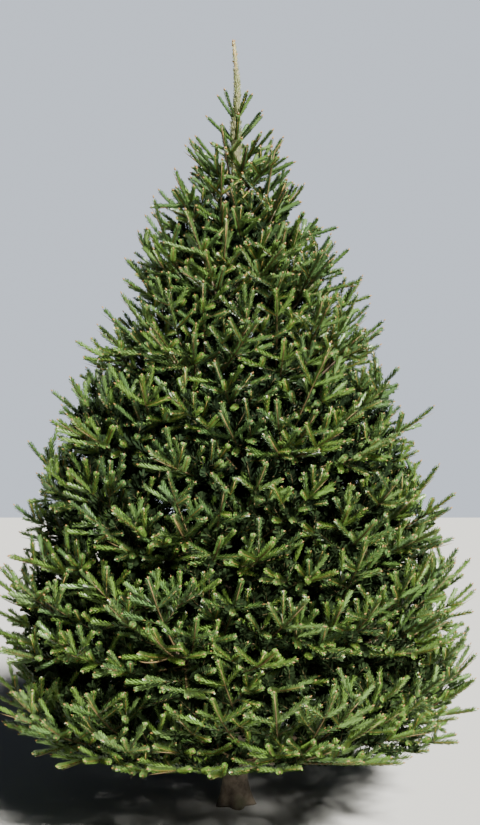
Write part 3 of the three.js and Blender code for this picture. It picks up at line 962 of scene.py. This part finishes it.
# The buds: small, blunt and coated with orange brown resin, they close the end of each
# of this year's shoots, one on a weak shoot and three side by side on a strong one.
SINGLE_BUD = 0.0068
PAIRED_BUD = 0.0055
STRONG_SHOOT = 0.085
RESIN_BROWN = (0.25, 0.14, 0.04)


def bud_arrays(place, way, side, top, size):
    """Buds of five points each, a pointed tip and root with a three-sided waist between."""
    corners = [(0.1, 0, 0.5), (0.1, -0.43, -0.25), (0.1, 0.43, -0.25), (-0.3, 0, 0), (1.1, 0, 0)]
    points = np.stack([
        place + size[:, None] * (way * a + side * b + top * c) for a, b, c in corners
    ], 1).reshape(-1, 3)
    faces = np.array([(1, 0, 4), (2, 1, 4), (0, 2, 4), (0, 1, 3), (1, 2, 3), (2, 0, 3)])
    starts = (np.arange(len(place)) * 5)[:, None, None]
    return points, (faces[None] + starts).reshape(-1, 3)


bud_skin = plain_finish("bud_resin", RESIN_BROWN, 0.45, 0.1)
place, way, side, top = along_shoot(young, np.ones(len(young)))
swell = 1 + 0.2 * ramp(place[:, 2], 1.7, 0.5)
bud_parts = [bud_arrays(place, way, side, top, SINGLE_BUD * swell)]
strong = lengths[young] > STRONG_SHOOT
for hand in (-1, 1):
    lean = unit(way[strong] + side[strong] * hand * 0.9)
    across = np.cross(lean, top[strong])
    bud_parts.append(bud_arrays(
        place[strong] - way[strong] * 0.002, lean, across, top[strong], PAIRED_BUD * swell[strong]
    ))
points, faces = joined(bud_parts)
array_piece("buds", points, faces, bud_skin)

# The leading shoot: this year's stout upright growth, which stands clear of the crown.
# Its skin is tan and green, with short pale and green needles pressed to it, few of them
# near the top, and buds along its sides and at its tip.
LEADER_ROOT_RADIUS = 0.0084
LEADER_TIP_RADIUS = 0.0046
LEADER_SIDES = 14
LEADER_RINGS = 60
LEADER_PALE = (0.42, 0.3, 0.13)
LEADER_DARK = (0.22, 0.16, 0.07)
LEADER_GREEN = (0.2, 0.24, 0.1)
TIP_DROP = 0.012


def leader_radius(height):
    return mix(LEADER_ROOT_RADIUS, LEADER_TIP_RADIUS, min(share_of_leader(height), 1))


def leader_place(share, turn):
    height = mix(TOP_WHORL_HEIGHT - 0.01, TREE_HEIGHT - TIP_DROP, share)
    centre = trunk_centre(height)
    out = facing(turn)
    cushion = noise.noise((centre + out * 0.01) * 260)
    return centre + out * (leader_radius(height) + 0.0008 * cushion)


def outward_at(turn):
    return np.array([math.cos(turn), math.sin(turn), 0])


leader_skin = bark_finish("leader_skin", LEADER_PALE, LEADER_DARK, LEADER_GREEN, 3)
leader_mesh = bmesh.new()
add_stem(leader_mesh, LEADER_SIDES, LEADER_RINGS, leader_place)
stem_piece("leading_shoot", leader_mesh, leader_skin)

# The needles pressed to it: how many are tried, their lengths from low to high, and their form.
PRESSED_NEEDLES = 2400
PRESSED_LENGTHS = (0.0155, 0.0095)
PRESSED_ROOT_HALF_WIDTH = 0.0008
PRESSED_TIP_HALF_WIDTH = 0.0014

pressed = [[], []]
for i in range(PRESSED_NEEDLES):
    share = i / PRESSED_NEEDLES
    height = mix(TOP_WHORL_HEIGHT - 0.3, TREE_HEIGHT - 0.02, share)
    leading = share_of_leader(height)
    if rng.random() > mix(1, 0.25, min(max((leading - 0.5) / 0.15, 0), 1)):
        continue
    centre = np.array(trunk_centre(height))
    out = outward_at(i * GOLDEN_ANGLE)
    radius = leader_radius(height) if height > TOP_WHORL_HEIGHT else trunk_radius(height)
    lean = math.radians(rng.uniform(22, 46) * mix(1, 0.5, leading))
    along = np.array([out[0] * math.sin(lean), out[1] * math.sin(lean), math.cos(lean)])
    around = np.array([-out[1], out[0], 0])
    twist = rng.uniform(-1.1, 1.1)
    flat = around * math.cos(twist) + np.cross(along, around) * math.sin(twist)
    size = mix(*PRESSED_LENGTHS, leading) * rng.uniform(0.85, 1.15)
    root = centre + out * (radius - 0.0006)
    end = root + along * size
    pressed[rng.random() < 0.4] += [
        root - around * PRESSED_ROOT_HALF_WIDTH, root + around * PRESSED_ROOT_HALF_WIDTH,
        end + flat * PRESSED_TIP_HALF_WIDTH, end - flat * PRESSED_TIP_HALF_WIDTH,
    ]
for name, colour, points in (
    ("needles_leading_pale", (0.4, 0.41, 0.22), np.array(pressed[0])),
    ("needles_leading_green", (0.17, 0.21, 0.07), np.array(pressed[1])),
):
    material = plain_finish(name.replace("needles", "needle"), colour, 0.5)
    array_piece(name, points, np.arange(len(points)).reshape(-1, 4), material)

LEADER_BUD = 0.0085
# The side buds: how far up the leading shoot each stands, and which way it faces.
SIDE_BUDS = [
    (0.3, 0.6), (0.42, 3.4), (0.55, 5.2), (0.64, 1.4), (0.72, 3.0), (0.8, 6.0), (0.86, 2.1), (0.92, 4.4)
]
places, turned = [], []
for share, turn in SIDE_BUDS:
    height = mix(TOP_WHORL_HEIGHT, TREE_HEIGHT, share)
    out = outward_at(turn)
    places.append(np.array(trunk_centre(height)) + out * leader_radius(height))
    turned.append(out * 0.75 + np.array([0, 0, 0.66]))
# One bud at the tip, and three round it.
top_bud = np.array(trunk_centre(TREE_HEIGHT - TIP_DROP))
for turn in (0, 2.1, 4.2):
    out = outward_at(turn)
    places.append(top_bud + out * 0.003)
    turned.append(out * 0.5 + np.array([0, 0, 0.87]))
places.append(top_bud)
turned.append(np.array([0, 0, 1.0]))
places, turned = np.array(places), unit(np.array(turned))
sideways = unit(np.cross(turned, np.array([0.3, 0.9, 0.1])))
sizes = np.full(len(places), LEADER_BUD)
points, faces = bud_arrays(places, turned, sideways, np.cross(sideways, turned), sizes)
array_piece("buds_leading_shoot", points, faces, bud_skin)

# Floor, light and camera: a pale studio floor, one key light from above, in front and
# to the right, and a low even fill. The camera stands 4 m in front of the tree, a little
# above the middle of its height.
FLOOR_HALF_WIDTH = 9
FLOOR_GREY = (0.36, 0.36, 0.35)
KEY_STRENGTH = 20.2
KEY_WIDTH = 10
KEY_WAY = (-0.42, 0.65, -0.78)
KEY_COLOUR = (1, 0.975, 0.91)
FILL_STRENGTH = 0.06
FILL_COLOUR = (0.7, 0.8, 1)
BACKDROP_STRENGTH = 0.95
BACKDROP_COLOUR = (0.8, 0.88, 1)
CAMERA_PLACE = (0.017, -4.0, 1.45)
CAMERA_DIP = 1.12

floor_mesh = bmesh.new()
bmesh.ops.create_grid(floor_mesh, x_segments=1, y_segments=1, size=FLOOR_HALF_WIDTH)
floor_data = bpy.data.meshes.new("floor")
floor_mesh.to_mesh(floor_data)
floor_mesh.free()
floor_data.materials.append(plain_finish("floor_paper", FLOOR_GREY, 0.9))
floor = bpy.data.objects.new("floor", floor_data)
bpy.context.scene.collection.objects.link(floor)
floor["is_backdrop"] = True

sun = bpy.data.lights.new("key", "SUN")
sun.energy = KEY_STRENGTH
sun.angle = math.radians(KEY_WIDTH)
sun.color = KEY_COLOUR
key = bpy.data.objects.new("key", sun)
key.rotation_euler = Vector(KEY_WAY).to_track_quat("-Z", "Y").to_euler()
bpy.context.scene.collection.objects.link(key)

world = bpy.data.worlds.new("studio")
world.use_nodes = True
sky_nodes, sky_links = world.node_tree.nodes, world.node_tree.links
fill = sky_nodes["Background"]
fill.inputs["Color"].default_value = (*FILL_COLOUR, 1)
fill.inputs["Strength"].default_value = FILL_STRENGTH
paper = sky_nodes.new("ShaderNodeBackground")
paper.inputs["Color"].default_value = (*BACKDROP_COLOUR, 1)
paper.inputs["Strength"].default_value = BACKDROP_STRENGTH
seen = sky_nodes.new("ShaderNodeLightPath")
both = sky_nodes.new("ShaderNodeMixShader")
sky_links.new(seen.outputs["Is Camera Ray"], both.inputs["Fac"])
sky_links.new(fill.outputs["Background"], both.inputs[1])
sky_links.new(paper.outputs["Background"], both.inputs[2])
sky_links.new(both.outputs["Shader"], sky_nodes["World Output"].inputs["Surface"])
bpy.context.scene.world = world

lens = bpy.data.cameras.new("camera")
lens.sensor_fit = "VERTICAL"
lens.sensor_height = 36
lens.lens = 50
camera = bpy.data.objects.new("camera", lens)
camera.location = CAMERA_PLACE
camera.rotation_euler = (math.radians(90 - CAMERA_DIP), 0, 0)
bpy.context.scene.collection.objects.link(camera)
bpy.context.scene.camera = camera

low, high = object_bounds()
